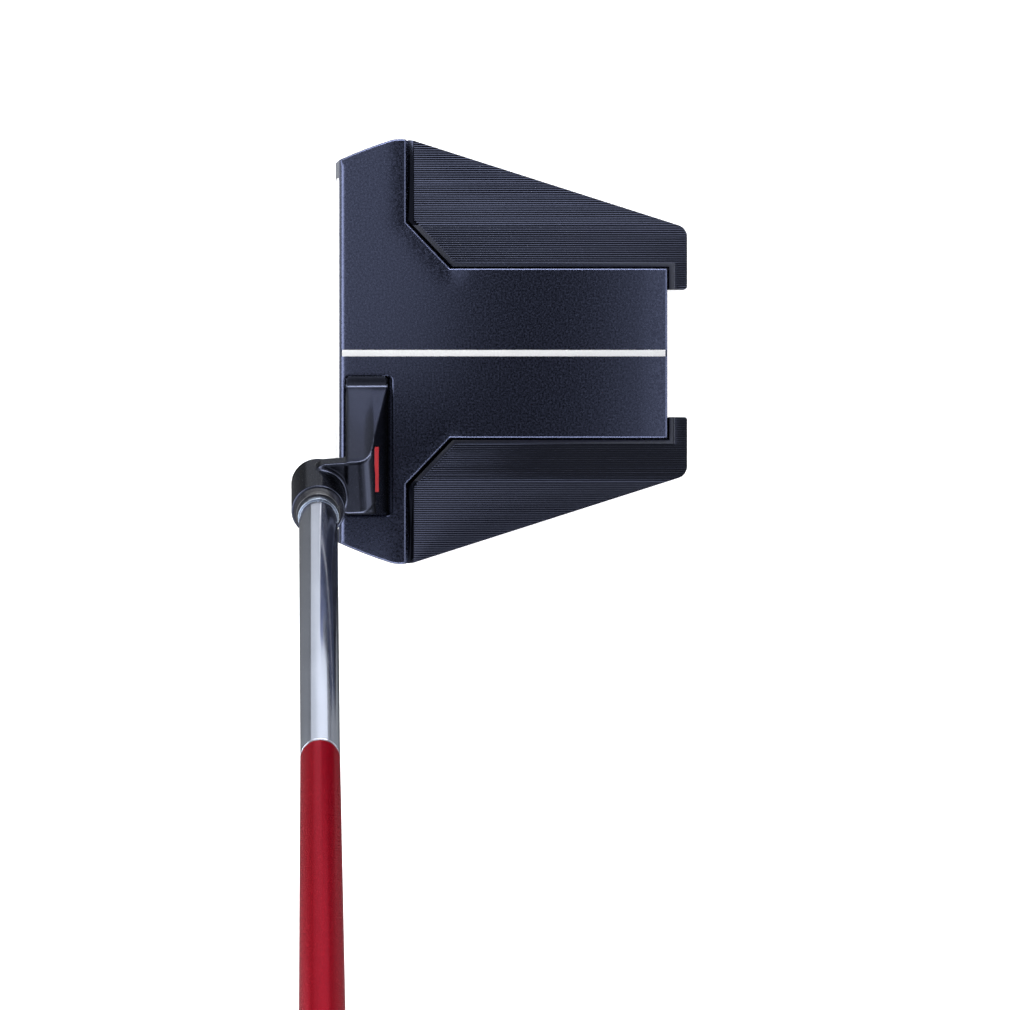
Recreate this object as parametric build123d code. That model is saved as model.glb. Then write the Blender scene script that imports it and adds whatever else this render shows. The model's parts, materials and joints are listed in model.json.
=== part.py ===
"""Right-handed mallet putter: milled head, slant neck, two-piece shaft and grip.

Row frame, millimetres: +Z up, -Y towards the target (the face looks that way), +X towards the heel.
The origin is the centre of the flat sole, under the sight line. The club is in its address pose.
"""

import os
from math import cos, radians, sin, tan

from build123d import *

# Thickness of a cutting block, more than any piece of the head reaches, and how far a cut runs past.
CUTTER = 50.0
PAST = 1.0

# Head, seen from above. u is a distance behind the crown's front edge.
HEAD_MID_U = 42.0
HEAD_SHIFT = -0.4
CROWN_Z = 25.0
CROWN_T = 3.0
BODY_TOP_Z = CROWN_Z - CROWN_T
LOFT = 2.5
FACE_OVERHANG = 1.2
FRONT_CORNER_HALF = 46.3
FRONT_CORNER_R = 1.2
END_MID = (49.7, 6.9)
END_TURN = (51.6, 12.4)
END_TURN_MID = (51.88, 14.2)
END_APEX = (51.8, 16.1)
SLANT_START = (51.6, 17.9)
SLANT_END = (30.2, 84.75)
HOOK_END_X = 15.6
SPINE_REAR_U = 79.9
REAR_CORNER_R = 3.0
HOOK_CORNER_R = 0.7
SOLE_BEVEL = 2.5

# T-shaped crown and the gaps round it.
BAR_REAR_U = 16.1
CHAMFER_OUT = (32.0, 16.1)
CHAMFER_IN = (20.7, 26.9)
SPINE_HALF = 20.7
BAR_GAP = 0.6
SIDE_GAP = 0.4
CROWN_EDGE_R = 0.5
CROWN_FRONT_R = 1.2
SIGHT_W = 1.6
SIGHT_DEPTH = 0.8
SIGHT_END_GAP = 0.5

# Wings.
WING_BASE_Z = 9.0
WING_TOP_Z = 23.4
CREASE_HALF = 31.2
WING_FALL = 12.0
LAND_W = 1.1
LAND_STEP = 0.3
RELIEF_WALL = 4.0
RELIEF_TOP_Z = 16.0
RELIEF_BOSS_R = 4.5

# Face insert, backer and tape, let into the face from the front.
INSERT_HALF = 43.0
INSERT_Z = (4.6, 20.4)
INSERT_CORNER_R = 3.0
INSERT_T = 2.4
BACKER_T = 1.0
TAPE_T = 0.3
INSERT_GAPS = (0.05, 0.3, 0.6)

# Centre cavity, damping core and sole plate.
CAVITY_HALF = 13.0
CAVITY_U = (27.0, 71.0)
SOLE_PLATE_HALF = 18.5
SOLE_PLATE_U = (20.5, 77.5)
SOLE_PLATE_T = 1.6
SOLE_PLATE_CORNER_R = 5.0
SOLE_SCREW_X = 14.8
SOLE_SCREW_U = (24.2, 73.8)
SOLE_SCREW_HEAD_R = 2.0
SOLE_SCREW_R = 1.2
SOLE_SCREW_Z = (0.15, 1.0, 6.5)
SOLE_SCREW_HOLE_Z = 7.0
CORE_GAP = 0.2
CORE_CORNER_R = 1.0
SLIP = 0.05

# Screw-in weights.
WEIGHT_X = 36.0
WEIGHT_U = 10.2
WEIGHT_HEAD_R = 5.6
WEIGHT_HEAD_Z = (0.4, 3.4)
WEIGHT_HEAD_BEVEL = 0.4
WEIGHT_SHANK_R = 4.4
WEIGHT_TOP_Z = 12.0
WEIGHT_CLEAR = 0.08
WEIGHT_PORT_TOP_Z = 12.4
SOCKET_R = 1.9
SOCKET_DEPTH = 2.4

# Hexagon socket of every screw, as fractions of the head's radius and height.
SCREW_SOCKET = 0.45
SCREW_SOCKET_DEPTH = 0.6

# Wing screws.
WING_SCREW_PLACES = ((38.0, 30.0), (27.0, 70.0))
WING_SCREW_HEAD_R = 3.2
WING_SCREW_R = 1.8
WING_SCREW_Z = (0.4, 2.6, 18.0)
SCREW_TIP_ROOM = 0.3

# Neck seat, slant neck and boss. The tilted frame of the boss has its z along the shaft.
LIE = 70.0
LEAN = 90.0 - LIE
RIM = (38.6, -5.4 - HEAD_MID_U, CROWN_Z + 31.0)
SEAT_X = (5.6, 39.6)
SEAT_U = (1.2, 12.7)
SEAT_CORNER_R = 1.2
FOOT_X = (5.65, 39.4)
FOOT_U = (1.4, 11.6)
FOOT_TOP_Z = CROWN_Z - 0.1
TENON_X = (12.0, 27.0)
TENON_U = (4.4, 11.0)
TENON_Z = 13.0
TENON_CORNER_R = 1.5
TENON_GAP = 0.1
WEB_FOOT_TOE_X = 8.0
ARM_TOE = -8.2
ARM_HEEL = 4.9
ARM_TOP_T = -11.4
BOSS_R = 6.55
ARM_BOTTOM_T = -16.2
BOSS_BOTTOM_T = -20.0
BOSS_EDGE_R = 0.5
NECK_REAR_U = 7.8
ARM_REAR_U = 6.7
NECK_SCREW_X = 19.5
NECK_SCREW_U = 7.7
NECK_SCREW_HEAD_R = 3.0
NECK_SCREW_R = 1.7
NECK_SCREW_Z = (0.4, 3.0, 19.5)
NECK_SCREW_HOLE_Z = 20.0
STRIPE_LENGTH = 11.0
STRIPE_HEIGHT = 5.5
STRIPE_X = 28.4
STRIPE_Z = 39.4
STRIPE_DEPTH = 0.4

# Shaft, measured along its axis from the boss rim.
CLUB_LENGTH = 889.0
TIP_R = 4.7
TIP_WALL = 0.9
TIP_INSERTION = 17.0
BORE_EXTRA = 1.0
FERRULE_R = (6.1, 5.3)
FERRULE_H = 2.35
RING_R = 4.95
RING_H = 2.35
JOINT_T = 170.0
JOINT_RING_H = 0.8
SPIGOT_R = 3.75
SPIGOT_L = 30.0
UPPER_R_LOW = 4.73
UPPER_TAPER = 0.00378
UPPER_WALL = 0.95

# Grip.
GRIP_LENGTH = 267.0
GRIP_CAP_T = 3.0
GRIP_SKIN_T = 1.3
TAPE_WRAP_T = 0.15
GRIP_STATIONS = (0.0, 0.12, 0.55, 0.86, 1.0)
GRIP_RADII = (8.6, 9.8, 11.2, 12.6, 12.3)
GRIP_SHIFTS = (0.0, 0.4, 1.2, 3.0, 3.2)
GRIP_FLATS = (8.2, 8.7, 9.2, 9.4, 9.2)
CAP_EDGE_R = 1.2
CAP_STUB_L = 10.0
CAP_STUB_GAP = 0.1
VENT_R = 1.0


def at(u):
    """Row Y of a distance u behind the crown's front edge."""
    return u - HEAD_MID_U


def box_between(x, y, z):
    """Box from three (low, high) pairs."""
    size = [b - a for a, b in (x, y, z)]
    middle = [(a + b) / 2 for a, b in (x, y, z)]
    return Pos(*middle) * Box(*size)


def prism(outline, z_low, z_high):
    """Upright solid of a flat outline between two heights."""
    return extrude(Pos(0, 0, z_low) * outline, z_high - z_low, dir=(0, 0, 1))


def open_side():
    """Block large enough to cut away all that lies above the plane it is placed on."""
    return Pos(0, 0, CUTTER / 2) * Box(4 * CUTTER, 4 * CUTTER, CUTTER)


def rod(x, y, z_low, z_high, radius):
    """Upright cylinder between two heights."""
    height = z_high - z_low
    return Pos(x, y, z_low + height / 2) * Cylinder(radius, height)


def along_shaft(t):
    """Plane across the shaft axis, t above the boss rim; its x leans to the heel and down."""
    axis = (sin(radians(LEAN)), 0, cos(radians(LEAN)))
    across = (cos(radians(LEAN)), 0, -sin(radians(LEAN)))
    origin = [p + t * a for p, a in zip(RIM, axis)]
    return Plane(origin=tuple(origin), x_dir=across, z_dir=axis)


def shaft_cylinder(t_low, t_high, radius):
    """Cylinder on the shaft axis."""
    height = t_high - t_low
    return along_shaft(t_low + height / 2) * Cylinder(radius, height)


def shaft_cone(t_low, t_high, r_low, r_high):
    """Cone on the shaft axis."""
    height = t_high - t_low
    return along_shaft(t_low + height / 2) * Cone(r_low, r_high, height)


def near(shape, point, reach=0.3):
    """Vertices of a flat shape close to a point in its plane."""
    x, y = point
    return [v for v in shape.vertices() if abs(v.X - x) < reach and abs(v.Y - y) < reach]


def head_outline(rounded=True):
    """Flat outline of the whole head, with the notch between the rear hooks."""
    def place(half, u, side):
        return (HEAD_SHIFT + side * half, at(u))

    def corner_at(side):
        return place(FRONT_CORNER_HALF, -FACE_OVERHANG, side)

    def notch_at(side):
        return (side * HOOK_END_X, at(SPINE_REAR_U))

    edges = [Line(corner_at(-1), corner_at(1)), Line(notch_at(-1), notch_at(1))]
    for side in (-1, 1):
        apex = place(*END_APEX, side)
        slant = place(*SLANT_START, side)
        rear = place(*SLANT_END, side)
        hook = (side * HOOK_END_X, at(SLANT_END[1]))
        turn = place(*END_TURN, side)
        edges += [ThreePointArc(corner_at(side), place(*END_MID, side), turn)]
        edges += [ThreePointArc(turn, place(*END_TURN_MID, side), apex)]
        straight = (apex, slant, rear, hook, notch_at(side))
        edges += [Line(a, b) for a, b in zip(straight, straight[1:])]
    outline = make_face(Wire(edges))
    if not rounded:
        return outline
    for side in (-1, 1):
        outline = fillet(near(outline, place(*SLANT_END, side)), REAR_CORNER_R)
        outline = fillet(near(outline, (side * HOOK_END_X, at(SLANT_END[1]))), HOOK_CORNER_R)
        outline = fillet(near(outline, corner_at(side)), FRONT_CORNER_R)
    return outline


def t_outline(gap_bar=0.0, gap_side=0.0):
    """Flat T of the crown, running past the head in front and at its two ends."""
    wide = 2 * CUTTER
    bar_rear = BAR_REAR_U + gap_bar
    spine = SPINE_HALF + gap_side
    out_x = CHAMFER_OUT[0] + gap_side
    in_u = CHAMFER_IN[1] + gap_bar
    rear = SPINE_REAR_U + gap_side
    heel_side = [(wide, -CUTTER), (wide, bar_rear), (out_x, bar_rear), (spine, in_u), (spine, rear)]
    toe_side = [(-x, u) for x, u in reversed(heel_side)]
    return make_face(Polyline(*[(x, at(u)) for x, u in heel_side + toe_side], close=True))


def loft_cut():
    """Block in front of the lofted face plane, to be cut away."""
    outwards = (0, -cos(radians(LOFT)), sin(radians(LOFT)))
    face = Plane(origin=(0, at(0), CROWN_Z), x_dir=(1, 0, 0), z_dir=outwards)
    return face * open_side()


def face_slab(depth_low, depth_high, inset=0.0):
    """Rounded slab with the insert's outline, parallel to the lofted face, between two depths."""
    normal = (0, cos(radians(LOFT)), -sin(radians(LOFT)))
    middle_z = (INSERT_Z[0] + INSERT_Z[1]) / 2
    surface_y = at(0) - (CROWN_Z - middle_z) * tan(radians(LOFT))
    origin = (0, surface_y + depth_low * normal[1], middle_z + depth_low * normal[2])
    plane = Plane(origin=origin, x_dir=(1, 0, 0), z_dir=normal)
    height = INSERT_Z[1] - INSERT_Z[0] - 2 * inset
    outline = RectangleRounded(2 * (INSERT_HALF - inset), height, INSERT_CORNER_R - inset)
    return extrude(plane * outline, depth_high - depth_low)


def weight_places():
    """Centres of the toe and heel weights."""
    return {"toe_weight": (-WEIGHT_X, at(WEIGHT_U)), "heel_weight": (WEIGHT_X, at(WEIGHT_U))}


def wing_screw_places():
    return [(side * x, at(u)) for side in (-1, 1) for x, u in WING_SCREW_PLACES]


def sole_screw_places():
    return [(side * SOLE_SCREW_X, at(u)) for side in (-1, 1) for u in SOLE_SCREW_U]


def seat_block(x, u, z_low, z_high, corner):
    """Upright block with rounded corners, for the neck's seat and foot."""
    middle = ((x[0] + x[1]) / 2, at((u[0] + u[1]) / 2))
    return prism(Pos(*middle) * RectangleRounded(x[1] - x[0], u[1] - u[0], corner), z_low, z_high)


def sole_plate_block(z_low, z_high, clear=0.0):
    """Block with the sole plate's outline, wider all round by the clearance."""
    half = SOLE_PLATE_HALF + clear
    span_u = (SOLE_PLATE_U[0] - clear, SOLE_PLATE_U[1] + clear)
    return seat_block((-half, half), span_u, z_low, z_high, SOLE_PLATE_CORNER_R)


def make_head_body():
    """Chassis: bevelled sole slab under the wings, front bar and spine up to the crown plate."""
    outline = head_outline()
    slab = prism(head_outline(rounded=False), 0, WING_BASE_Z)
    slab = chamfer(slab.edges().group_by(Axis.Z)[0], SOLE_BEVEL) & prism(outline, -PAST, WING_BASE_Z)
    tall = prism(outline & t_outline(), WING_BASE_Z, BODY_TOP_Z)
    body = (slab + tall) - loft_cut()
    body -= face_slab(-PAST, INSERT_T + BACKER_T + TAPE_T)
    cavity_y = (at(CAVITY_U[0]), at(CAVITY_U[1]))
    body -= box_between((-CAVITY_HALF, CAVITY_HALF), cavity_y, (-PAST, BODY_TOP_Z + PAST))
    body -= sole_plate_block(-PAST, SOLE_PLATE_T, SLIP)
    for x, y in weight_places().values():
        body -= rod(x, y, -PAST, WEIGHT_HEAD_Z[1] + WEIGHT_CLEAR, WEIGHT_HEAD_R + WEIGHT_CLEAR)
        body -= rod(x, y, 0, WEIGHT_PORT_TOP_Z, WEIGHT_SHANK_R + WEIGHT_CLEAR)
    for x, y in wing_screw_places():
        body -= rod(x, y, -PAST, WING_SCREW_Z[1], WING_SCREW_HEAD_R + SLIP)
        body -= rod(x, y, 0, WING_BASE_Z + PAST, WING_SCREW_R + SLIP)
    for x, y in sole_screw_places():
        body -= rod(x, y, 0, SOLE_SCREW_HOLE_Z, SOLE_SCREW_R + SLIP)
    body -= seat_block(TENON_X, TENON_U, TENON_Z, BODY_TOP_Z + PAST, TENON_CORNER_R)
    screw_y = at(NECK_SCREW_U)
    body -= rod(NECK_SCREW_X, screw_y, -PAST, NECK_SCREW_Z[1], NECK_SCREW_HEAD_R + SLIP)
    body -= rod(NECK_SCREW_X, screw_y, 0, TENON_Z + PAST, NECK_SCREW_R + SLIP)
    return body


def make_crown_plate():
    """Raised T plate with rounded edges, a groove for the sight line and an opening for the neck."""
    behind_face = Pos(0, at(CUTTER)) * Rectangle(4 * CUTTER, 2 * CUTTER)
    outline = head_outline() & t_outline() & behind_face
    plate = prism(outline, BODY_TOP_Z, CROWN_Z)
    rim = [e for e in plate.edges() if e.bounding_box().min.Z > CROWN_Z - 0.01]
    front = [e for e in rim if e.center().Y < at(CROWN_FRONT_R)]
    plate = fillet(front, CROWN_FRONT_R)
    rim = [e for e in plate.edges() if e.bounding_box().min.Z > CROWN_Z - 0.01]
    plate = fillet([e for e in rim if e.center().Y > at(2 * CROWN_FRONT_R)], CROWN_EDGE_R)
    groove_y = (at(-PAST), at(2 * CUTTER))
    plate -= box_between((-SIGHT_W / 2, SIGHT_W / 2), groove_y, (CROWN_Z - SIGHT_DEPTH, CROWN_Z + PAST))
    plate -= seat_block(SEAT_X, SEAT_U, BODY_TOP_Z - PAST, CROWN_Z + PAST, SEAT_CORNER_R)
    return plate


def make_sight_line():
    """White line let into the crown, ending with the crown's front and rear."""
    span_y = (at(SIGHT_END_GAP), at(SPINE_REAR_U - SIGHT_END_GAP))
    return box_between((-SIGHT_W / 2, SIGHT_W / 2), span_y, (CROWN_Z - SIGHT_DEPTH, CROWN_Z))


def make_wing(side):
    """Wing with its rear hook: flat by the spine, falling away outside the crease, milled out below."""
    whole = Rectangle(4 * CUTTER, 4 * CUTTER)
    half_plane = Pos(side * CUTTER, 0) * Rectangle(2 * CUTTER, 4 * CUTTER)
    region = (head_outline() - t_outline(BAR_GAP, SIDE_GAP)) & half_plane
    ribbed = (whole - t_outline(BAR_GAP + LAND_W, SIDE_GAP + LAND_W)) & half_plane
    wing = prism(region, WING_BASE_Z, WING_TOP_Z)
    wing -= prism(ribbed, WING_TOP_Z - LAND_STEP, WING_TOP_Z + PAST)
    slope = Plane(
        origin=(side * CREASE_HALF, 0, WING_TOP_Z - LAND_STEP),
        x_dir=(cos(radians(WING_FALL)), 0, -side * sin(radians(WING_FALL))),
        z_dir=(side * sin(radians(WING_FALL)), 0, cos(radians(WING_FALL))),
    )
    wing -= slope * Pos(side * 2 * CUTTER, 0, 0) * open_side()
    relief = offset(region, -RELIEF_WALL, kind=Kind.INTERSECTION)
    pocket = prism(relief, WING_BASE_Z, RELIEF_TOP_Z)
    for x, y in wing_screw_places():
        pocket -= rod(x, y, 0, RELIEF_TOP_Z + PAST, RELIEF_BOSS_R)
    wing -= pocket
    for x, y in wing_screw_places():
        wing -= rod(x, y, 0, WING_SCREW_Z[2] + SCREW_TIP_ROOM, WING_SCREW_R + SLIP)
    return wing


def cap_screw(place, heights, head_r, shank_r):
    """Screw that points up: flat head with a hexagon socket, and a plain shank."""
    low, under_head, tip = heights
    screw = rod(*place, low, under_head, head_r) + rod(*place, under_head, tip, shank_r)
    socket = Pos(*place) * RegularPolygon(SCREW_SOCKET * head_r, 6)
    return screw - prism(socket, low, low + SCREW_SOCKET_DEPTH * (under_head - low))


def make_weight(place):
    """Screw-in weight: wide head with a bevelled rim and a hexagon socket, and a shank."""
    x, y = place
    head = rod(x, y, *WEIGHT_HEAD_Z, WEIGHT_HEAD_R)
    head = chamfer(head.edges().group_by(Axis.Z)[0], WEIGHT_HEAD_BEVEL)
    weight = head + rod(x, y, WEIGHT_HEAD_Z[1], WEIGHT_TOP_Z, WEIGHT_SHANK_R)
    low = WEIGHT_HEAD_Z[0]
    return weight - prism(Pos(x, y) * RegularPolygon(SOCKET_R, 6), low, low + SOCKET_DEPTH)


def make_damping_core():
    """Elastomer block that fills the centre cavity."""
    half = CAVITY_HALF - CORE_GAP
    span_y = (at(CAVITY_U[0]) + CORE_GAP, at(CAVITY_U[1]) - CORE_GAP)
    core = box_between((-half, half), span_y, (SOLE_PLATE_T, BODY_TOP_Z))
    return fillet(core.edges().filter_by(Axis.Z), CORE_CORNER_R)


def make_sole_plate():
    """Flush cover of the cavity, with four counterbored holes."""
    plate = sole_plate_block(0, SOLE_PLATE_T)
    for x, y in sole_screw_places():
        plate -= rod(x, y, -PAST, SOLE_SCREW_Z[1], SOLE_SCREW_HEAD_R + SLIP)
        plate -= rod(x, y, 0, SOLE_PLATE_T + PAST, SOLE_SCREW_R + SLIP)
    return plate


def tilted_block(x, y, t):
    """Box in the boss's tilted frame; y is a row Y pair."""
    block = box_between(x, (y[0] - RIM[1], y[1] - RIM[1]), t)
    return along_shaft(0) * block


def web_profile():
    """Side of the slanted web, seen from the front: it rises to the arm's toe side and heel side."""
    lean = radians(LEAN)

    def corner(across, t):
        x = RIM[0] + t * sin(lean) + across * cos(lean)
        z = RIM[2] + t * cos(lean) - across * sin(lean)
        return (x, z)

    toe_side = [corner(ARM_TOE, ARM_BOTTOM_T), corner(ARM_TOE, ARM_TOP_T)]
    heel_top = corner(ARM_HEEL, ARM_TOP_T)
    points = [(WEB_FOOT_TOE_X, FOOT_TOP_Z)] + toe_side + [heel_top, (FOOT_X[1], FOOT_TOP_Z)]
    return [(px, at(FOOT_U[0]), pz) for px, pz in points]


def make_neck():
    """Neck with its foot, tenon, slanted web, arm and round boss, and the red stripe let into its back."""
    web = extrude(make_face(Polyline(*web_profile(), close=True)), FOOT_U[1] - FOOT_U[0], dir=(0, 1, 0))
    web -= neck_back() * open_side()
    arm = tilted_block((ARM_TOE, ARM_HEEL), (RIM[1], at(ARM_REAR_U)), (ARM_BOTTOM_T, ARM_TOP_T))
    foot = seat_block(FOOT_X, FOOT_U, BODY_TOP_Z, FOOT_TOP_Z, SEAT_CORNER_R)
    tenon_x = (TENON_X[0] + TENON_GAP, TENON_X[1] - TENON_GAP)
    tenon_u = (TENON_U[0] + TENON_GAP, TENON_U[1] - TENON_GAP)
    tenon = seat_block(tenon_x, tenon_u, TENON_Z + TENON_GAP, BODY_TOP_Z, TENON_CORNER_R - TENON_GAP)
    boss = shaft_cylinder(BOSS_BOTTOM_T, 0, BOSS_R)
    boss = fillet(boss.edges().filter_by(GeomType.CIRCLE), BOSS_EDGE_R)
    neck = web + arm + boss + foot + tenon
    neck -= shaft_cylinder(-TIP_INSERTION - BORE_EXTRA, PAST, TIP_R)
    neck -= rod(NECK_SCREW_X, at(NECK_SCREW_U), TENON_Z, NECK_SCREW_HOLE_Z, NECK_SCREW_R)
    stripe = stripe_block(STRIPE_DEPTH, 0.0) & neck
    return {"hosel_neck": neck - stripe_block(STRIPE_DEPTH, PAST), "neck_stripe": stripe}


def stripe_block(depth, proud):
    """Block on the leaning back of the neck, for the red stripe and its recess."""
    back = neck_back()
    down = -(STRIPE_Z - CROWN_Z) / abs(back.y_dir.Z)
    block = Box(STRIPE_LENGTH, STRIPE_HEIGHT, depth + proud)
    return back * Pos(STRIPE_X, down, (proud - depth) / 2) * block


def neck_back():
    """Plane of the neck's leaning back, whose y points down the slope."""
    rise = RIM[2] + ARM_TOP_T * cos(radians(LEAN)) - CROWN_Z
    run = FOOT_U[1] - NECK_REAR_U
    return Plane(origin=(0, at(FOOT_U[1]), CROWN_Z), x_dir=(1, 0, 0), z_dir=(0, rise, run))


def upper_radius(t):
    return UPPER_R_LOW + UPPER_TAPER * (t - JOINT_T)


def butt_t():
    """Distance of the butt end above the rim, from the club's length along the shaft to the ground."""
    return CLUB_LENGTH - RIM[2] / cos(radians(LEAN))


def make_shaft_tip():
    """Steel tube with a reduced spigot for the upper shaft."""
    top = JOINT_T - JOINT_RING_H
    tube = shaft_cylinder(-TIP_INSERTION, top, TIP_R) + shaft_cylinder(top, JOINT_T + SPIGOT_L, SPIGOT_R)
    bore = shaft_cylinder(-TIP_INSERTION - PAST, JOINT_T + SPIGOT_L + PAST, SPIGOT_R - TIP_WALL)
    return tube - bore


def make_shaft_upper():
    """Tapered graphite tube."""
    top = butt_t() - GRIP_CAP_T
    tube = shaft_cone(JOINT_T, top, upper_radius(JOINT_T), upper_radius(top))
    bore = shaft_cone(JOINT_T + SPIGOT_L, top, SPIGOT_R, upper_radius(top) - UPPER_WALL)
    return tube - bore - shaft_cylinder(JOINT_T - PAST, JOINT_T + SPIGOT_L, SPIGOT_R)


def grip_loft(inset, t_low, t_high):
    """Lofted grip shape: round on the palm side, flat on the thumb side."""
    sections = []
    for station, radius, shift, flat in zip(GRIP_STATIONS, GRIP_RADII, GRIP_SHIFTS, GRIP_FLATS):
        t = t_low + station * (t_high - t_low)
        sections.append(along_shaft(t) * grip_section(radius - inset, shift, flat - inset))
    return loft(sections)


def grip_section(radius, shift, flat):
    """Flat section of the grip: a circle set towards the palm and cut off at the thumb's flat."""
    circle = Pos(shift, 0) * Circle(radius)
    keep = Pos(CUTTER - flat, 0) * Rectangle(2 * CUTTER, 2 * CUTTER)
    return circle & keep


def make_grip():
    """Tape, foam core, skin and end cap."""
    top = butt_t() - GRIP_CAP_T
    low = butt_t() - GRIP_LENGTH
    shaft_low = upper_radius(low)
    shaft_top = upper_radius(top)
    wrap = TAPE_WRAP_T
    wrapped = shaft_cone(low, top, shaft_low + wrap, shaft_top + wrap)
    tape = wrapped - shaft_cone(low, top, shaft_low, shaft_top)
    inner = grip_loft(GRIP_SKIN_T, low, top)
    core = inner - wrapped
    skin = grip_loft(0, low, top) - inner
    return {"grip_tape": tape, "grip_core": core, "grip_skin": skin, "grip_cap": make_grip_cap(top)}


def make_grip_cap(top):
    """End cap: the grip's last section with rounded edges, a stub in the shaft and a vent hole."""
    section = grip_section(GRIP_RADII[-1], GRIP_SHIFTS[-1], GRIP_FLATS[-1])
    cap = extrude(along_shaft(top) * section, GRIP_CAP_T)
    cap = fillet(cap.faces().sort_by(Axis.Z)[-1].edges(), CAP_EDGE_R)
    stub_r = upper_radius(top) - UPPER_WALL - CAP_STUB_GAP
    cap += shaft_cone(top - CAP_STUB_L, top, stub_r - CAP_STUB_L * UPPER_TAPER, stub_r)
    return cap - shaft_cylinder(top - CAP_STUB_L - PAST, top + GRIP_CAP_T + PAST, VENT_R)


def make_collars():
    """Ferrule, its trim ring, and the ring at the shaft joint."""
    ring_top = FERRULE_H + RING_H
    shaft_hole = shaft_cylinder(-PAST, ring_top + PAST, TIP_R)
    ferrule = shaft_cone(0, FERRULE_H, *FERRULE_R) - shaft_hole
    ring = shaft_cylinder(FERRULE_H, ring_top, RING_R) - shaft_hole
    joint = shaft_cylinder(JOINT_T - JOINT_RING_H, JOINT_T, upper_radius(JOINT_T))
    joint -= shaft_cylinder(JOINT_T - JOINT_RING_H - PAST, JOINT_T + PAST, SPIGOT_R)
    return {"ferrule": ferrule, "ferrule_ring": ring, "joint_ring": joint}


def make_screws():
    """Wing screws, sole plate screws and the neck screw."""
    wing = [cap_screw(p, WING_SCREW_Z, WING_SCREW_HEAD_R, WING_SCREW_R) for p in wing_screw_places()]
    sole = [cap_screw(p, SOLE_SCREW_Z, SOLE_SCREW_HEAD_R, SOLE_SCREW_R) for p in sole_screw_places()]
    neck = cap_screw((NECK_SCREW_X, at(NECK_SCREW_U)), NECK_SCREW_Z, NECK_SCREW_HEAD_R, NECK_SCREW_R)
    return {"wing_screws": Compound(wing), "sole_screws": Compound(sole), "neck_screw": neck}


def make_parts():
    parts = {
        "head_body": make_head_body(),
        "crown_plate": make_crown_plate(),
        "sight_line": make_sight_line(),
        "toe_wing": make_wing(-1),
        "heel_wing": make_wing(1),
        "face_insert": face_slab(0, INSERT_T, INSERT_GAPS[0]),
        "insert_backer": face_slab(INSERT_T, INSERT_T + BACKER_T, INSERT_GAPS[1]),
        "insert_tape": face_slab(INSERT_T + BACKER_T, INSERT_T + BACKER_T + TAPE_T, INSERT_GAPS[2]),
        "damping_core": make_damping_core(),
        "sole_plate": make_sole_plate(),
        "shaft_tip": make_shaft_tip(),
        "shaft_upper": make_shaft_upper(),
    }
    parts.update({name: make_weight(place) for name, place in weight_places().items()})
    parts.update(make_neck())
    parts.update(make_screws())
    parts.update(make_collars())
    parts.update(make_grip())
    return parts


os.makedirs("parts", exist_ok=True)
for name, shape in make_parts().items():
    export_step(shape, f"parts/{name}.step")
    print(name, round(shape.volume), "mm3")
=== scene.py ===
"""Looks of the mallet putter: refined meshes, procedural finishes, floor, light and camera.

Everything is in the row frame. Lengths in the constants are millimetres, and MM turns them into metres
where a mesh, a light or the camera is made.
"""

import json
from math import ceil, cos, pi, radians, sin, tan, tau

import bmesh
import bpy
import numpy as np
from mathutils import Matrix, Vector
from mathutils.geometry import delaunay_2d_cdt

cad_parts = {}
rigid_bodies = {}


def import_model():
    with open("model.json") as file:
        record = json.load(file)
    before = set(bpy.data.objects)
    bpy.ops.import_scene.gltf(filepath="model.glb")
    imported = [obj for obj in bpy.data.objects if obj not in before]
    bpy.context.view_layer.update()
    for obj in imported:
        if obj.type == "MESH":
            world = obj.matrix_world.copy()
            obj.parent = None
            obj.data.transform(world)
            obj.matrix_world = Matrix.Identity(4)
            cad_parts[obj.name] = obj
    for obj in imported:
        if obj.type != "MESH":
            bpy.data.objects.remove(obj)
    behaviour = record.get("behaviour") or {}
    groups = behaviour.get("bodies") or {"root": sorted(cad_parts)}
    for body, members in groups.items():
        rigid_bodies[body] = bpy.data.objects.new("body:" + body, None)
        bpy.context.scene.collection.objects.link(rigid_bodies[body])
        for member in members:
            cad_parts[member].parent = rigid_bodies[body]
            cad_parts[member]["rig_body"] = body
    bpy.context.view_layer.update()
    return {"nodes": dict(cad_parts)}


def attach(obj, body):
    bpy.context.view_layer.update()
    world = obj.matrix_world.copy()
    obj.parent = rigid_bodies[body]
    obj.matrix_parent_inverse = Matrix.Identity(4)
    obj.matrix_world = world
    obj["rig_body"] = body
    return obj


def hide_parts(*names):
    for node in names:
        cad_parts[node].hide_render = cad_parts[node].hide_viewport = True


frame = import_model()

MM = 0.001

# CAD meshes: angles past which an edge is rounded off, and below which two faces become one; how close
# two points are to be welded, and how close to a height a point counts as lying at it.
SHARP_EDGE = radians(28.0)
FLAT_EDGE = radians(0.5)
WELD = 0.002
LEVEL = 0.001

# Shaft line: the boss rim's centre, and the lean of the shaft from upright. t is a distance above the rim.
LEAN = radians(20.0)
RIM = Vector((38.6, -47.4, 56.0))
AXIS = Vector((sin(LEAN), 0.0, cos(LEAN)))
ACROSS = Vector((cos(LEAN), 0.0, -sin(LEAN)))
TIP_R = 4.7
TIP_BOTTOM_T = -17.0
SPIGOT_R = 3.75
SPIGOT_L = 30.0
TIP_WALL = 0.9
JOINT_T = 170.0
JOINT_RING_H = 0.8
COLLAR_R = (6.1, 5.3)
COLLAR_H = 2.35
COLLAR_RING_R = 4.95
COLLAR_RING_H = 2.35
UPPER_R_LOW = 4.73
UPPER_TAPER = 0.00378
UPPER_WALL = 0.95
BUTT_T = 889.0 - RIM.z / cos(LEAN)
CORNER_STEPS = 4

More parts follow.
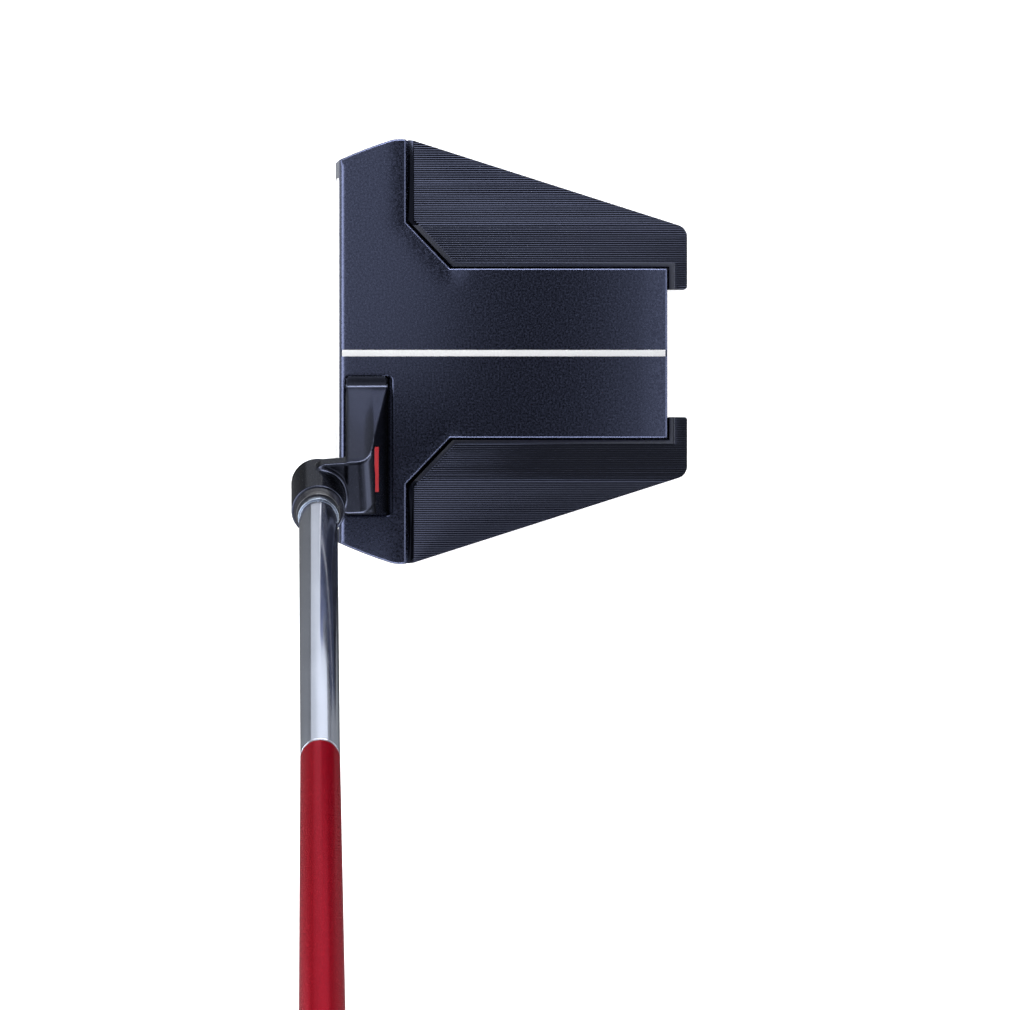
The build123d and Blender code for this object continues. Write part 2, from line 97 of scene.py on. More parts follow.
# Grip: its section is a circle of some radius, shifted from the shaft line, with a flat for the thumbs.
# The blend rounds the flat's two corners, and the sink keeps the skin within its CAD shape.
GRIP_LENGTH = 267.0
GRIP_CAP_T = 3.0
GRIP_SKIN_T = 1.3
GRIP_STATIONS = (0.0, 0.12, 0.55, 0.86, 1.0)
GRIP_RADII = (8.6, 9.8, 11.2, 12.6, 12.3)
GRIP_SHIFTS = (0.0, 0.4, 1.2, 3.0, 3.2)
GRIP_FLATS = (8.2, 8.7, 9.2, 9.4, 9.2)
GRIP_BLEND = 0.8
GRIP_SINK = 0.02
GRIP_END_GAP = 0.01
GRIP_EDGE = 0.5
GRIP_SEGMENTS = 192
GRIP_OUTER_RINGS = 420
GRIP_INNER_RINGS = 24

# Diamonds of the grip: fields with a plain margin at each end.
PATTERN_FIELD = 62.0
PATTERN_MARGIN = 5.0
PATTERN_TWIST = 20.0
PATTERN_SLANT = 2.1
PATTERN_DEPTH = 0.22

# Crown: u is a distance behind its front edge.
CROWN_Z = 25.0
CROWN_BASE_Z = 22.0
HEAD_MID_U = 42.0
BAR_REAR_U = 16.1
SPINE_HALF = 20.7
SPINE_REAR_U = 79.9
CHAMFER_RUN = (32.0, 26.9)
CROWN_EDGE_R = 0.5
CROWN_FRONT_R = 1.2
SEAT_EDGE_R = 0.4
FRONT_FLAT_HALF = 46.6
SIGHT_W = 1.6
SIGHT_DEPTH = 0.8

# How far a cut runs out in front of the head, behind it and above it.
CUT_FRONT_U = -5.0
CUT_REAR_U = 90.0
CUT_ABOVE = 1.0

# Points of the crown's sheet: rows beside the outline and the opening, and a grid with room round it.
OUTLINE_STEP = 0.6
ROWS = (0.01, 0.04, 0.09, 0.16, 0.25, 0.36, 0.5, 0.7, 0.95, 1.2, 1.6, 2.1, 2.7)
SEAT_ROWS = (0.01, 0.04, 0.1, 0.2, 0.4, 0.7)
CROWN_GRID = 1.5
CORNER_CROWD = 0.97
GRID_TO_ROWS = 0.5
GRID_TO_SEAT_ROWS = 0.4
ROWS_TO_SEAT_ROWS = 0.05
SEAT_ROWS_TO_OUTLINE = 0.45

# Soft shoulders of the crown: reach inwards, and slope at the edge.
FRONT_SHOULDER = (2.6, 0.15)
BACK_SHOULDER = (5.8, 0.19)
REAR_SHOULDER = (6.5, 0.16)

# Wings: a plain land by the crown, then ribs; outside the crease the top falls away.
BAR_GAP = 0.6
SIDE_GAP = 0.4
LAND_W = 1.1
CHAMFER_LAND = 1.3
WING_TOP_Z = 23.1
WING_RIM_LOW_Z = 18.3
WING_EDGE = 0.3
CREASE_X = 31.2
WING_FALL = tan(radians(12.0))

# Ribs: each groove is a shallow arc, and its cutter enters the metal along a ramp.
RIB_FIRST_X = 16.0
RIB_LAST_X = 52.2
RIB_PITCH = 0.537
RIB_WIDTH = 0.5
RIB_SIDE = radians(38.0)
RIB_RADIUS = RIB_WIDTH / 2 / sin(RIB_SIDE)
RIB_DEPTH = RIB_RADIUS * (1 - cos(RIB_SIDE))
RIB_ARC_POINTS = 9
RIB_CUTTER_TOP = 0.6
RIB_START_GAP = 0.25
RIB_RAMP = 0.12

# Neck: foot, tenon, web, arm, stripe and boss, and the radii of its edges and fillets.
FOOT_X = (5.65, 39.4)
FOOT_U = (1.4, 11.6)
FOOT_TOP_Z = 24.9
FOOT_CORNER_R = 1.1
FOOT_EDGE_R = 0.15
TENON_BOX = ((12.1, 26.9), (4.5, 10.9), (13.1, 22.5))
WEB_TOE_X = 8.0
WEB_REAR_R = 3.6
WEB_FRONT_R = 0.6
ARM_TOE = -8.2
ARM_HEEL = 4.9
ARM_TOP_T = -11.4
ARM_BOTTOM_T = -16.2
ARM_FRONT_R = 1.5
ARM_TAPER = 0.07
ARM_TAPER_FROM = 6.0
ARM_FLARE = 1.3
ARM_FLARE_FROM = 11.0
ARM_FLARE_RUN = 2.5
STRIPE_X = (22.85, 33.95)
STRIPE_Z = (36.65, 42.15)
STRIPE_DEPTH = 0.4
BOSS_R = 6.55
BOSS_BOTTOM_T = -20.0
BORE_EXTRA = 1.0
NECK_REAR_U = 7.8
NECK_EDGE_R = 0.5
ARM_FILLET_R = 0.6
BOSS_FILLET_R = 1.2
FOOT_FILLET_R = 0.5

# Grid that the neck's surface is found on, and its room round the neck and past the leaning boss.
NECK_VOXEL = 0.28
NECK_ROOM = 1.0
BOSS_ROOM = (2.0, 4.0)


def row_y(u):
    """Row Y of a distance u behind the crown's front edge."""
    return u - HEAD_MID_U


# ---------------------------------------------------------------- meshes


def new_mesh(name, vertices, faces, smooth_angle=35.0):
    """Mesh from millimetre vertices, smooth except across edges sharper than the angle."""
    mesh = bpy.data.meshes.new(name)
    mesh.from_pydata([[c * MM for c in v] for v in vertices], [], faces)
    mesh.update()
    return shade(mesh, smooth_angle)


def shade(mesh, smooth_angle):
    mesh.shade_smooth()
    mesh.set_sharp_from_angle(angle=radians(smooth_angle))
    return mesh


def add_object(name, mesh):
    obj = bpy.data.objects.new(name, mesh)
    bpy.context.scene.collection.objects.link(obj)
    return obj


def add_piece(name, mesh, nodes):
    """Piece that stands for some CAD nodes: it rides on their body and takes the first one's slot."""
    piece = add_object(name, mesh)
    first = frame["nodes"][nodes[0]]
    slot = first.data.materials[0].name
    mesh.materials.clear()
    mesh.materials.append(finish_of(slot))
    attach(piece, first["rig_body"])
    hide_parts(*nodes)


def apply_modifiers(obj):
    graph = bpy.context.evaluated_depsgraph_get()
    mesh = bpy.data.meshes.new_from_object(obj.evaluated_get(graph))
    obj.modifiers.clear()
    old = obj.data
    obj.data = mesh
    bpy.data.meshes.remove(old)


def take_mesh(obj):
    """Mesh of a helper object, which is removed."""
    mesh = obj.data
    bpy.data.objects.remove(obj)
    return mesh


def cad_copy(node):
    """Helper object with a CAD node's shape, welded, with its flat faces merged."""
    mesh = frame["nodes"][node].data.copy()
    mesh.materials.clear()
    work = bmesh.new()
    work.from_mesh(mesh)
    bmesh.ops.remove_doubles(work, verts=work.verts, dist=WELD * MM)
    bmesh.ops.dissolve_limit(work, angle_limit=FLAT_EDGE, verts=work.verts, edges=work.edges)
    bmesh.ops.recalc_face_normals(work, faces=work.faces)
    work.to_mesh(mesh)
    work.free()
    if mesh.has_custom_normals:
        mesh.attributes.remove(mesh.attributes["custom_normal"])
    return add_object(node + "_work", mesh)


def ease_edges(obj, width, segments, above=-1.0):
    """Rounds every sharp edge that lies above a height, by a small width."""
    work = bmesh.new()
    work.from_mesh(obj.data)
    edges = []
    for edge in work.edges:
        high = min(v.co.z for v in edge.verts) > above * MM
        if high and edge.is_manifold and edge.calc_face_angle() > SHARP_EDGE:
            edges.append(edge)
    shape = {"offset": width * MM, "segments": segments, "profile": 0.5}
    bmesh.ops.bevel(work, geom=edges, affect="EDGES", clamp_overlap=True, **shape)
    work.to_mesh(obj.data)
    work.free()


def cut(obj, cutter):
    """Takes a closed helper away from an object, exactly."""
    boolean = obj.modifiers.new("cut", "BOOLEAN")
    boolean.operation = "DIFFERENCE"
    boolean.solver = "EXACT"
    boolean.object = cutter
    apply_modifiers(obj)
    bpy.data.meshes.remove(take_mesh(cutter))


def machined(name, node, width, segments):
    """Piece with a CAD node's shape and eased edges, so that every edge catches the light."""
    work = cad_copy(node)
    ease_edges(work, width, segments)
    add_piece(name, shade(take_mesh(work), 35.0), [node])


# ---------------------------------------------------------------- lathe work on the shaft line


def on_shaft(radius, angle, t):
    """Point at a radius and angle round the shaft line, t above the boss rim; angle 0 is ACROSS."""
    return RIM + AXIS * t + ACROSS * (radius * cos(angle)) + Vector((0, 1, 0)) * (radius * sin(angle))


def turned(name, profile, segments):
    """Closed ring turned round the shaft line from a loop of (radius, t) points."""
    count = len(profile)
    vertices = [on_shaft(r, tau * k / segments, t) for k in range(segments) for r, t in profile]
    faces = []
    for k in range(segments):
        ahead = (k + 1) % segments
        for i in range(count):
            j = (i + 1) % count
            faces.append((k * count + i, k * count + j, ahead * count + j, ahead * count + i))
    return new_mesh(name, vertices, faces, 30.0)


def rounded_loop(points, radius):
    """Loop of (radius, t) points with each corner rounded by a small radius."""
    loop = []
    corners = [Vector(p) for p in points]
    for i, corner in enumerate(corners):
        before = corners[i - 1] - corner
        after = corners[(i + 1) % len(corners)] - corner
        reach = min(radius, before.length * 0.45, after.length * 0.45)
        start = corner + before.normalized() * reach
        end = corner + after.normalized() * reach
        for k in range(CORNER_STEPS + 1):
            s = k / CORNER_STEPS
            point = start.lerp(corner, s).lerp(corner.lerp(end, s), s)
            loop.append((point.x, point.y))
    return loop


def upper_radius(t):
    return UPPER_R_LOW + UPPER_TAPER * (t - JOINT_T)


def make_shaft():
    """Chrome tip with its spigot, bright joint ring and painted upper tube."""
    top = JOINT_T - JOINT_RING_H
    spigot_top = JOINT_T + SPIGOT_L
    bore = SPIGOT_R - TIP_WALL
    tip = [(TIP_R, TIP_BOTTOM_T), (TIP_R, top), (SPIGOT_R, top), (SPIGOT_R, spigot_top)]
    tip += [(bore, spigot_top), (bore, TIP_BOTTOM_T)]
    add_piece("chrome_tip", turned("chrome_tip", rounded_loop(tip, 0.25), 160), ["shaft_tip"])
    ring = [(UPPER_R_LOW, top), (UPPER_R_LOW, JOINT_T), (SPIGOT_R, JOINT_T), (SPIGOT_R, top)]
    add_piece("shaft_joint_ring", turned("shaft_joint_ring", rounded_loop(ring, 0.2), 160), ["joint_ring"])
    end = BUTT_T - GRIP_CAP_T
    tube = [(UPPER_R_LOW, JOINT_T), (upper_radius(end), end), (upper_radius(end) - UPPER_WALL, end)]
    tube += [(SPIGOT_R, spigot_top), (SPIGOT_R, JOINT_T)]
    add_piece("painted_upper", turned("painted_upper", rounded_loop(tube, 0.18), 160), ["shaft_upper"])


def make_ferrule():
    """Black collar with a soft shoulder, and the bright ring on it."""
    low_r, top_r = COLLAR_R
    ring_top = COLLAR_H + COLLAR_RING_H
    collar = [(low_r, 0.0), (top_r, COLLAR_H), (TIP_R, COLLAR_H), (TIP_R, 0.0)]
    add_piece("collar", turned("collar", rounded_loop(collar, 0.15), 128), ["ferrule"])
    ring = [(COLLAR_RING_R, COLLAR_H), (COLLAR_RING_R, ring_top), (TIP_R, ring_top), (TIP_R, COLLAR_H)]
    add_piece("collar_ring", turned("collar_ring", rounded_loop(ring, 0.1), 128), ["ferrule_ring"])


# ---------------------------------------------------------------- crown


def outline_loops(node, z):
    """Closed loops of (x, y) points round a CAD node's flat faces at a height, widest first."""
    work = bmesh.new()
    work.from_mesh(frame["nodes"][node].data)
    bmesh.ops.remove_doubles(work, verts=work.verts, dist=WELD * MM)
    flat = {f for f in work.faces if all(abs(v.co.z - z * MM) < LEVEL * MM for v in f.verts)}
    rim = [e for e in work.edges if len(flat.intersection(e.link_faces)) == 1]
    loops = []
    while rim:
        edge = rim.pop()
        start, here = edge.verts
        loop = [start]
        while here != start:
            loop.append(here)
            edge = next(e for e in here.link_edges if e in rim)
            rim.remove(edge)
            here = edge.other_vert(here)
        loops.append(np.array([(v.co.x / MM, v.co.y / MM) for v in loop]))
    work.free()
    return sorted(loops, key=lambda loop: -np.ptp(loop[:, 0]))


def resampled(loop, step):
    """Anticlockwise loop with its long segments divided."""
    points = []
    for a, b in zip(loop, np.roll(loop, -1, axis=0)):
        parts = ceil(np.linalg.norm(b - a) / step)
        points += [a + (b - a) * k / parts for k in range(parts)]
    points = np.array(points)
    ahead = np.roll(points, -1, axis=0)
    turn = np.sum(points[:, 0] * ahead[:, 1] - points[:, 1] * ahead[:, 0])
    return points if turn > 0 else points[::-1]


def left_offsets(points):
    """Steps to the left of a loop's path that move each of its sides by one."""
    ahead = np.roll(points, -1, axis=0) - points
    ahead /= np.linalg.norm(ahead, axis=1)[:, None]
    both = ahead + np.roll(ahead, 1, axis=0)
    normal = np.stack([-both[:, 1], both[:, 0]], axis=1)
    return normal * (2 / (normal**2).sum(axis=1))[:, None]


def distance_to(path, points, closed=True):
    """Shortest distance from each point to a path."""
    nearest = np.full(len(points), np.inf)
    ends = np.roll(path, -1, axis=0) if closed else path[1:]
    for a, b in zip(path, ends):
        along = b - a
        share = np.clip((points - a) @ along / (along @ along), 0, 1)
        nearest = np.minimum(nearest, np.linalg.norm(points - a - share[:, None] * along, axis=1))
    return nearest


def inside(loop, points):
    """Whether each point is inside a closed loop."""
    result = np.zeros(len(points), bool)
    for (ax, ay), (bx, by) in zip(loop, np.roll(loop, -1, axis=0)):
        spans = (points[:, 1] < ay) != (points[:, 1] < by)
        if spans.any():
            result ^= spans & (points[:, 0] < ax + (bx - ax) * (points[:, 1] - ay) / (by - ay))
    return result


def fillet_drop(distance, radius):
    """Fall of a quarter-round edge at a distance in from the edge."""
    outwards = 1 - np.clip(distance / radius, 0, 1)
    return radius * (1 - np.sqrt(1 - outwards**2))


def shoulder_drop(distance, shoulder):
    """Fall of a soft shoulder that steepens towards the edge."""
    reach, slope = shoulder
    return slope / (2 * reach) * np.clip(reach - distance, 0, reach) ** 2


def crown_drop(points, outer, seat):
    """Fall of the crown's surface below its top. The straight part of the front edge is rounder."""
    x, u = np.abs(points[:, 0]), points[:, 1] + HEAD_MID_U
    out_x, in_u = CHAMFER_RUN
    back = np.array([(2 * out_x, BAR_REAR_U), (out_x, BAR_REAR_U), (SPINE_HALF, in_u)])
    front = np.clip(2.0 - u / 1.5, 0, 1) * np.clip(FRONT_FLAT_HALF - x, 0, 1)
    edge_r = CROWN_EDGE_R + (CROWN_FRONT_R - CROWN_EDGE_R) * front
    drop = fillet_drop(distance_to(outer, points), edge_r)
    drop += fillet_drop(distance_to(seat, points), SEAT_EDGE_R)
    drop += shoulder_drop(u, FRONT_SHOULDER) + shoulder_drop(SPINE_REAR_U - u, REAR_SHOULDER)
    return drop + shoulder_drop(distance_to(back, np.stack([x, u], axis=1), closed=False), BACK_SHOULDER)


def edge_rows(loop, rows, inwards):
    """Fine points along a loop, and rows of points beside it without those that crowd a corner."""
    fine = resampled(loop, OUTLINE_STEP)
    steps = left_offsets(fine) * inwards
    kept = []
    for row in rows:
        points = fine + row * steps
        kept.append(points[distance_to(loop, points) > CORNER_CROWD * row])
    return fine, np.concatenate(kept)


def crown_points(outer, seat):
    """Flat points of the crown: along the outline, along the opening, and all others between them."""
    outer_fine, outer_rows = edge_rows(outer, ROWS, 1)
    seat_fine, seat_rows = edge_rows(seat, SEAT_ROWS, -1)
    axes = [np.arange(low, high, CROWN_GRID) for low, high in zip(outer.min(axis=0), outer.max(axis=0))]
    grid = np.stack(np.meshgrid(*axes), axis=-1).reshape(-1, 2)
    grid = grid[distance_to(outer, grid) > ROWS[-1] + GRID_TO_ROWS]
    grid = grid[distance_to(seat, grid) > SEAT_ROWS[-1] + GRID_TO_SEAT_ROWS]
    outer_rows = outer_rows[distance_to(seat, outer_rows) > SEAT_ROWS[-1] + ROWS_TO_SEAT_ROWS]
    seat_rows = seat_rows[distance_to(outer, seat_rows) > SEAT_ROWS_TO_OUTLINE]
    loose = np.concatenate([outer_rows, seat_rows, grid])
    return outer_fine, seat_fine, loose[inside(outer, loose) & ~inside(seat, loose)]


def ring_edges(start, count):
    """Edges that join points, numbered from the start, in a ring."""
    return [(start + k, start + (k + 1) % count) for k in range(count)]


def crown_sheet(outer, seat):
    """Flat points and triangles that cover the crown's outline, without the neck's opening."""
    outer_fine, seat_fine, loose = crown_points(outer, seat)
    points = [Vector(p) for p in np.concatenate([outer_fine, seat_fine, loose])]
    rims = ring_edges(0, len(outer_fine)) + ring_edges(len(outer_fine), len(seat_fine))
    done = delaunay_2d_cdt(points, rims, [], 0, 1e-5)
    flat = np.array([tuple(v) for v in done[0]])
    faces = np.array(done[2])
    middle = flat[faces].mean(axis=1)
    return flat, faces[inside(outer, middle) & ~inside(seat, middle)]


def make_crown():
    """T-shaped crown as one fine closed sheet: rolled edges, soft shoulders and the neck's opening."""
    outer, seat = outline_loops("crown_plate", CROWN_BASE_Z)[:2]
    flat, faces = crown_sheet(outer, seat)
    heights = CROWN_Z - crown_drop(flat, outer, seat)
    count = len(flat)
    vertices = [(x, y, z) for (x, y), z in zip(flat, heights)]
    vertices += [(x, y, CROWN_BASE_Z) for x, y in flat]
    sides = {(a, b) for face in faces for a, b in zip(face, np.roll(face, -1))}
    walls = [(b, a, a + count, b + count) for a, b in sides if (b, a) not in sides]
    quads = faces.tolist() + (faces[:, ::-1] + count).tolist() + walls
    work = add_object("crown_work", new_mesh("crown", vertices, quads, 40.0))
    work.data.validate()
    cut(work, sight_groove())
    add_piece("crown", shade(take_mesh(work), 40.0), ["crown_plate"])


def sight_groove():
    """Helper box for the groove of the sight line."""
    x = (-SIGHT_W / 2, SIGHT_W / 2)
    y = (row_y(CUT_FRONT_U), row_y(CUT_REAR_U))
    z = (CROWN_Z - SIGHT_DEPTH, CROWN_Z + CUT_ABOVE)
    corners = [(i, j, k) for k in z for j in y for i in x]
    faces = [(0, 2, 3, 1), (4, 5, 7, 6), (0, 1, 5, 4), (2, 6, 7, 3), (0, 4, 6, 2), (1, 3, 7, 5)]
    return add_object("sight_groove", new_mesh("sight_groove", corners, faces))


# ---------------------------------------------------------------- wings


def land_edge_y(x):
    """Row Y where the land ends at a distance x from the middle: bar, slanting side or hook."""
    out_x, in_u = CHAMFER_RUN
    if x < SPINE_HALF + SIDE_GAP + LAND_W:
        return row_y(SPINE_REAR_U + SIDE_GAP + LAND_W)
    along_bar = BAR_REAR_U + BAR_GAP + LAND_W
    run = (out_x + SIDE_GAP - x) * (in_u - BAR_REAR_U) / (out_x - SPINE_HALF)
    along_side = BAR_REAR_U + BAR_GAP + LAND_W * CHAMFER_LAND + run
    return row_y(max(along_bar, along_side))


def wing_surface_z(x):
    return WING_TOP_Z - max(0.0, x - CREASE_X) * WING_FALL


def rib_section():
    """Section of a groove's cutter: a round scallop below, and a flat top clear of the wing."""
    angles = np.linspace(RIB_SIDE, -RIB_SIDE, RIB_ARC_POINTS)
    arc = [(RIB_RADIUS * sin(a), RIB_RADIUS * cos(RIB_SIDE) - RIB_RADIUS * cos(a)) for a in angles]
    return arc + [(-RIB_WIDTH / 2, RIB_CUTTER_TOP), (RIB_WIDTH / 2, RIB_CUTTER_TOP)]


def rib_rings(side, x, section):
    """Points of three sections along one groove's cutter; the first is raised, which makes the ramp."""
    start = land_edge_y(x) + RIB_START_GAP
    fall = WING_FALL if x > CREASE_X else 0.0
    points = []
    for y, lift in ((start, RIB_DEPTH), (start + RIB_RAMP, 0.0), (row_y(CUT_REAR_U), 0.0)):
        for dx, dz in section:
            raise_by = lift if dz < RIB_CUTTER_TOP else 0.0
            points.append((side * (x + dx), y, wing_surface_z(x) + dz - dx * fall + raise_by))
    return points


def bar_faces(base, count, rings):
    """Faces of a closed bar whose rings of points are numbered from a base."""
    faces = []
    for low in range(base, base + (rings - 1) * count, count):
        for i in range(count):
            j = (i + 1) % count
            faces.append((low + i, low + j, low + count + j, low + count + i))
    faces.append(tuple(base + i for i in reversed(range(count))))
    faces.append(tuple(base + (rings - 1) * count + i for i in range(count)))
    return faces


def rib_cutter(side):
    """Helper object with one closed bar for each groove of a wing."""
    section = rib_section()
    vertices = []
    faces = []
    for k in range(int((RIB_LAST_X - RIB_FIRST_X) / RIB_PITCH)):
        faces += bar_faces(len(vertices), len(section), 3)
        vertices += rib_rings(side, RIB_FIRST_X + k * RIB_PITCH, section)
    mesh = new_mesh("ribs", vertices, faces)
    work = bmesh.new()
    work.from_mesh(mesh)
    bmesh.ops.recalc_face_normals(work, faces=work.faces)
    work.to_mesh(mesh)
    work.free()
    return add_object("ribs", mesh)


def make_wings():
    """Toe and heel wings: CAD shape, eased edges, and fine ribs milled from front to back."""
    for side, node in ((-1, "toe_wing"), (1, "heel_wing")):
        work = cad_copy(node)
        ease_edges(work, WING_EDGE, 2, above=WING_RIM_LOW_Z)
        cut(work, rib_cutter(side))
        add_piece(node + "_ribbed", shade(take_mesh(work), 40.0), [node])


# ---------------------------------------------------------------- neck


def round_max(a, b, radius):
    """Distance to where two solids overlap, with a rounded edge."""
    both = np.sqrt(np.maximum(a + radius, 0) ** 2 + np.maximum(b + radius, 0) ** 2)
    return np.minimum(-radius, np.maximum(a, b)) + both


def round_min(a, b, radius):
    """Distance to two solids together, with a round fillet between them."""
    both = np.sqrt(np.maximum(radius - a, 0) ** 2 + np.maximum(radius - b, 0) ** 2)
    return np.maximum(radius, np.minimum(a, b)) - both


def slab(value, low, high):
    return np.maximum(low - value, value - high)


def half_space(a, b, point, direction, outward):
    """Signed distance, in the plane of a and b, from the line through a point; positive outwards."""
    normal = Vector((-direction[1], direction[0])).normalized()
    if normal.dot(Vector(outward)) < 0:
        normal = -normal
    return (a - point[0]) * normal.x + (b - point[1]) * normal.y


def back_plane(y, z):
    """Signed distance from the neck's leaning back, which rises from the foot's rear edge."""
    back_run = (NECK_REAR_U - FOOT_U[1], RIM.z + ARM_TOP_T * AXIS.z - CROWN_Z)
    return half_space(y, z, (row_y(FOOT_U[1]), CROWN_Z), back_run, (1, 0))


def side_flare(y):
    """How far the toe side bulges at a distance behind the boss: a slow taper, then a lip at the rear."""
    behind_rim = y - RIM.y
    lip = np.clip((behind_rim - ARM_FLARE_FROM) / ARM_FLARE_RUN, 0, 1) ** 2
    return ARM_TAPER * (behind_rim - ARM_TAPER_FROM) + ARM_FLARE * lip


def arm_field(y, across, t, top):
    """Signed distance of the short arm between web and boss."""
    sides = round_max(slab(across + side_flare(y), ARM_TOE, ARM_HEEL), ARM_BOTTOM_T - t, NECK_EDGE_R)
    return round_max(round_max(sides, top, NECK_EDGE_R), RIM.y - y, ARM_FRONT_R)


def web_field(x, y, z, top):
    """Signed distance of the web, whose toe and heel sides run from the foot to the arm's top corners."""
    toe_corner = RIM + AXIS * ARM_TOP_T + ACROSS * ARM_TOE
    heel_top = RIM + AXIS * ARM_TOP_T + ACROSS * ARM_HEEL
    height_share = np.clip((z - FOOT_TOP_Z) / (toe_corner.z - FOOT_TOP_Z), 0, 1)
    toe_run = (toe_corner.x - WEB_TOE_X, toe_corner.z - FOOT_TOP_Z)
    toe = half_space(x + side_flare(y) * height_share, z, (WEB_TOE_X, FOOT_TOP_Z), toe_run, (-1, 0.5))
    heel_run = (heel_top.x - FOOT_X[1], heel_top.z - FOOT_TOP_Z)
    heel = half_space(x, z, (FOOT_X[1], FOOT_TOP_Z), heel_run, (1, 0))
    web = round_max(round_max(toe, heel, NECK_EDGE_R), top, NECK_EDGE_R)
    web = round_max(web, row_y(FOOT_U[0]) - y, WEB_FRONT_R)
    return np.maximum(web, CROWN_BASE_Z - z)


def foot_field(x, y, z):
    """Signed distance of the foot in the crown's opening."""
    foot = round_max(slab(x, *FOOT_X), slab(y, row_y(FOOT_U[0]), row_y(FOOT_U[1])), FOOT_CORNER_R)
    return round_max(foot, slab(z, CROWN_BASE_Z, FOOT_TOP_Z), FOOT_EDGE_R)


def tenon_field(x, y, z):
    """Signed distance of the tenon below the foot."""
    (x0, x1), (u0, u1), (z0, z1) = TENON_BOX
    return np.maximum(np.maximum(slab(x, x0, x1), slab(y, row_y(u0), row_y(u1))), slab(z, z0, z1))


def neck_field(x, y, z):
    """Signed distance of the whole neck, in millimetres."""
    across = (x - RIM.x) * ACROSS.x + (z - RIM.z) * ACROSS.z
    t = (x - RIM.x) * AXIS.x + (z - RIM.z) * AXIS.z
    from_axis = np.sqrt(across**2 + (y - RIM.y) ** 2)
    back = back_plane(y, z)
    top = round_max(t - ARM_TOP_T, back, WEB_REAR_R)
    boss = round_max(from_axis - BOSS_R, slab(t, BOSS_BOTTOM_T, 0.0), NECK_EDGE_R)
    neck = round_min(web_field(x, y, z, top), arm_field(y, across, t, top), ARM_FILLET_R)
    neck = round_min(neck, boss, BOSS_FILLET_R)
    neck = round_min(neck, foot_field(x, y, z), FOOT_FILLET_R)
    neck = np.minimum(neck, tenon_field(x, y, z))
    bore = np.maximum(from_axis - TIP_R, TIP_BOTTOM_T - BORE_EXTRA - t)
    recess = np.maximum(np.maximum(slab(x, *STRIPE_X), slab(z, *STRIPE_Z)), -STRIPE_DEPTH - back)
    return np.maximum(neck, -np.minimum(bore, recess))


def crossings_along(field, axis):
    """Where the surface crosses the grid's lines along an axis, how far along, and which start inside."""
    starts = [slice(None)] * 3
    ends = [slice(None)] * 3
    starts[axis] = slice(0, -1)
    ends[axis] = slice(1, None)
    a, b = field[tuple(starts)], field[tuple(ends)]
    crossing = (a < 0) != (b < 0)
    share = np.where(crossing, a / np.where(crossing, a - b, 1), 0)
    return crossing, share, a < 0


def cell_points(crossings, cells):
    """Middle of the crossings of each grid cell that has any, in grid steps, and the cells' numbers."""
    total = np.zeros(cells + (3,))
    count = np.zeros(cells)
    index = np.indices(cells).transpose(1, 2, 3, 0)
    for axis, (crossing, share, _) in enumerate(crossings):
        others = [k for k in range(3) if k != axis]
        for shift in ((0, 0), (0, 1), (1, 0), (1, 1)):
            window = [slice(None)] * 3
            offset = np.zeros(cells + (3,))
            for other, s in zip(others, shift):
                window[other] = slice(s, s + cells[other])
                offset[..., other] = s
            hit = crossing[tuple(window)]
            offset[..., axis] = share[tuple(window)]
            total += (index + offset) * hit[..., None]
            count += hit
    used = count > 0
    numbers = np.full(cells, -1)
    numbers[used] = np.arange(used.sum())
    return total[used] / count[used][:, None], numbers


def crossing_quads(crossing, start_inside, axis, numbers):
    """Outward quads round the crossings along an axis, each from the four cells beside it."""
    b, c = (axis + 1) % 3, (axis + 2) % 3
    where = np.argwhere(crossing)
    where = where[(where[:, b] > 0) & (where[:, c] > 0)]
    where = where[(where[:, b] < numbers.shape[b]) & (where[:, c] < numbers.shape[c])]
    corners = []
    for db, dc in ((0, 0), (-1, 0), (-1, -1), (0, -1)):
        cell = where.copy()
        cell[:, b] += db
        cell[:, c] += dc
        corners.append(numbers[tuple(cell.T)])
    quads = np.stack(corners, axis=1)
    flip = ~start_inside[tuple(where.T)]
    quads[flip] = quads[flip][:, ::-1]
    return quads


def surface_net(field, low, step):
    """Vertices and quads of the zero surface of a field sampled on a regular grid."""
    crossings = [crossings_along(field, axis) for axis in range(3)]
    points, numbers = cell_points(crossings, tuple(n - 1 for n in field.shape))
    quads = []
    for axis, (crossing, _, start_inside) in enumerate(crossings):
        quads.append(crossing_quads(crossing, start_inside, axis, numbers))
    return np.array(low) + step * points, np.concatenate(quads)


def settle(points, function):
    """Moves points onto the zero surface of a function, in three rounds of at most 0.2 mm."""
    nudge = 0.02
    for _ in range(3):
        value = function(*points.T)
        slopes = []
        for axis in range(3):
            step = np.zeros(3)
            step[axis] = nudge
            slopes.append((function(*(points + step).T) - function(*(points - step).T)) / (2 * nudge))
        slope = np.stack(slopes, axis=1)
        length = np.maximum((slope**2).sum(axis=1), 0.25)
        points = points - (np.clip(value, -0.1, 0.1) / length)[:, None] * slope
    return points


def make_neck():
    """Foot, leaning web, arm and boss in one smooth forged body."""
    low = np.array((FOOT_X[0], RIM.y - BOSS_R, TENON_BOX[2][0])) - NECK_ROOM
    high = np.array((RIM.x + BOSS_R + BOSS_ROOM[0], row_y(FOOT_U[1]) + NECK_ROOM, RIM.z + BOSS_ROOM[1]))
    counts = [ceil(n) for n in (high - low) / NECK_VOXEL]
    axes = [low[k] + NECK_VOXEL * np.arange(counts[k]) for k in range(3)]
    grid = np.meshgrid(*axes, indexing="ij")
    points, quads = surface_net(neck_field(*grid), low, NECK_VOXEL)
    points = settle(points, neck_field)
    mesh = new_mesh("forged_neck", points.tolist(), quads.tolist(), 38.0)
    add_piece("forged_neck", mesh, ["hosel_neck"])


# ---------------------------------------------------------------- grip


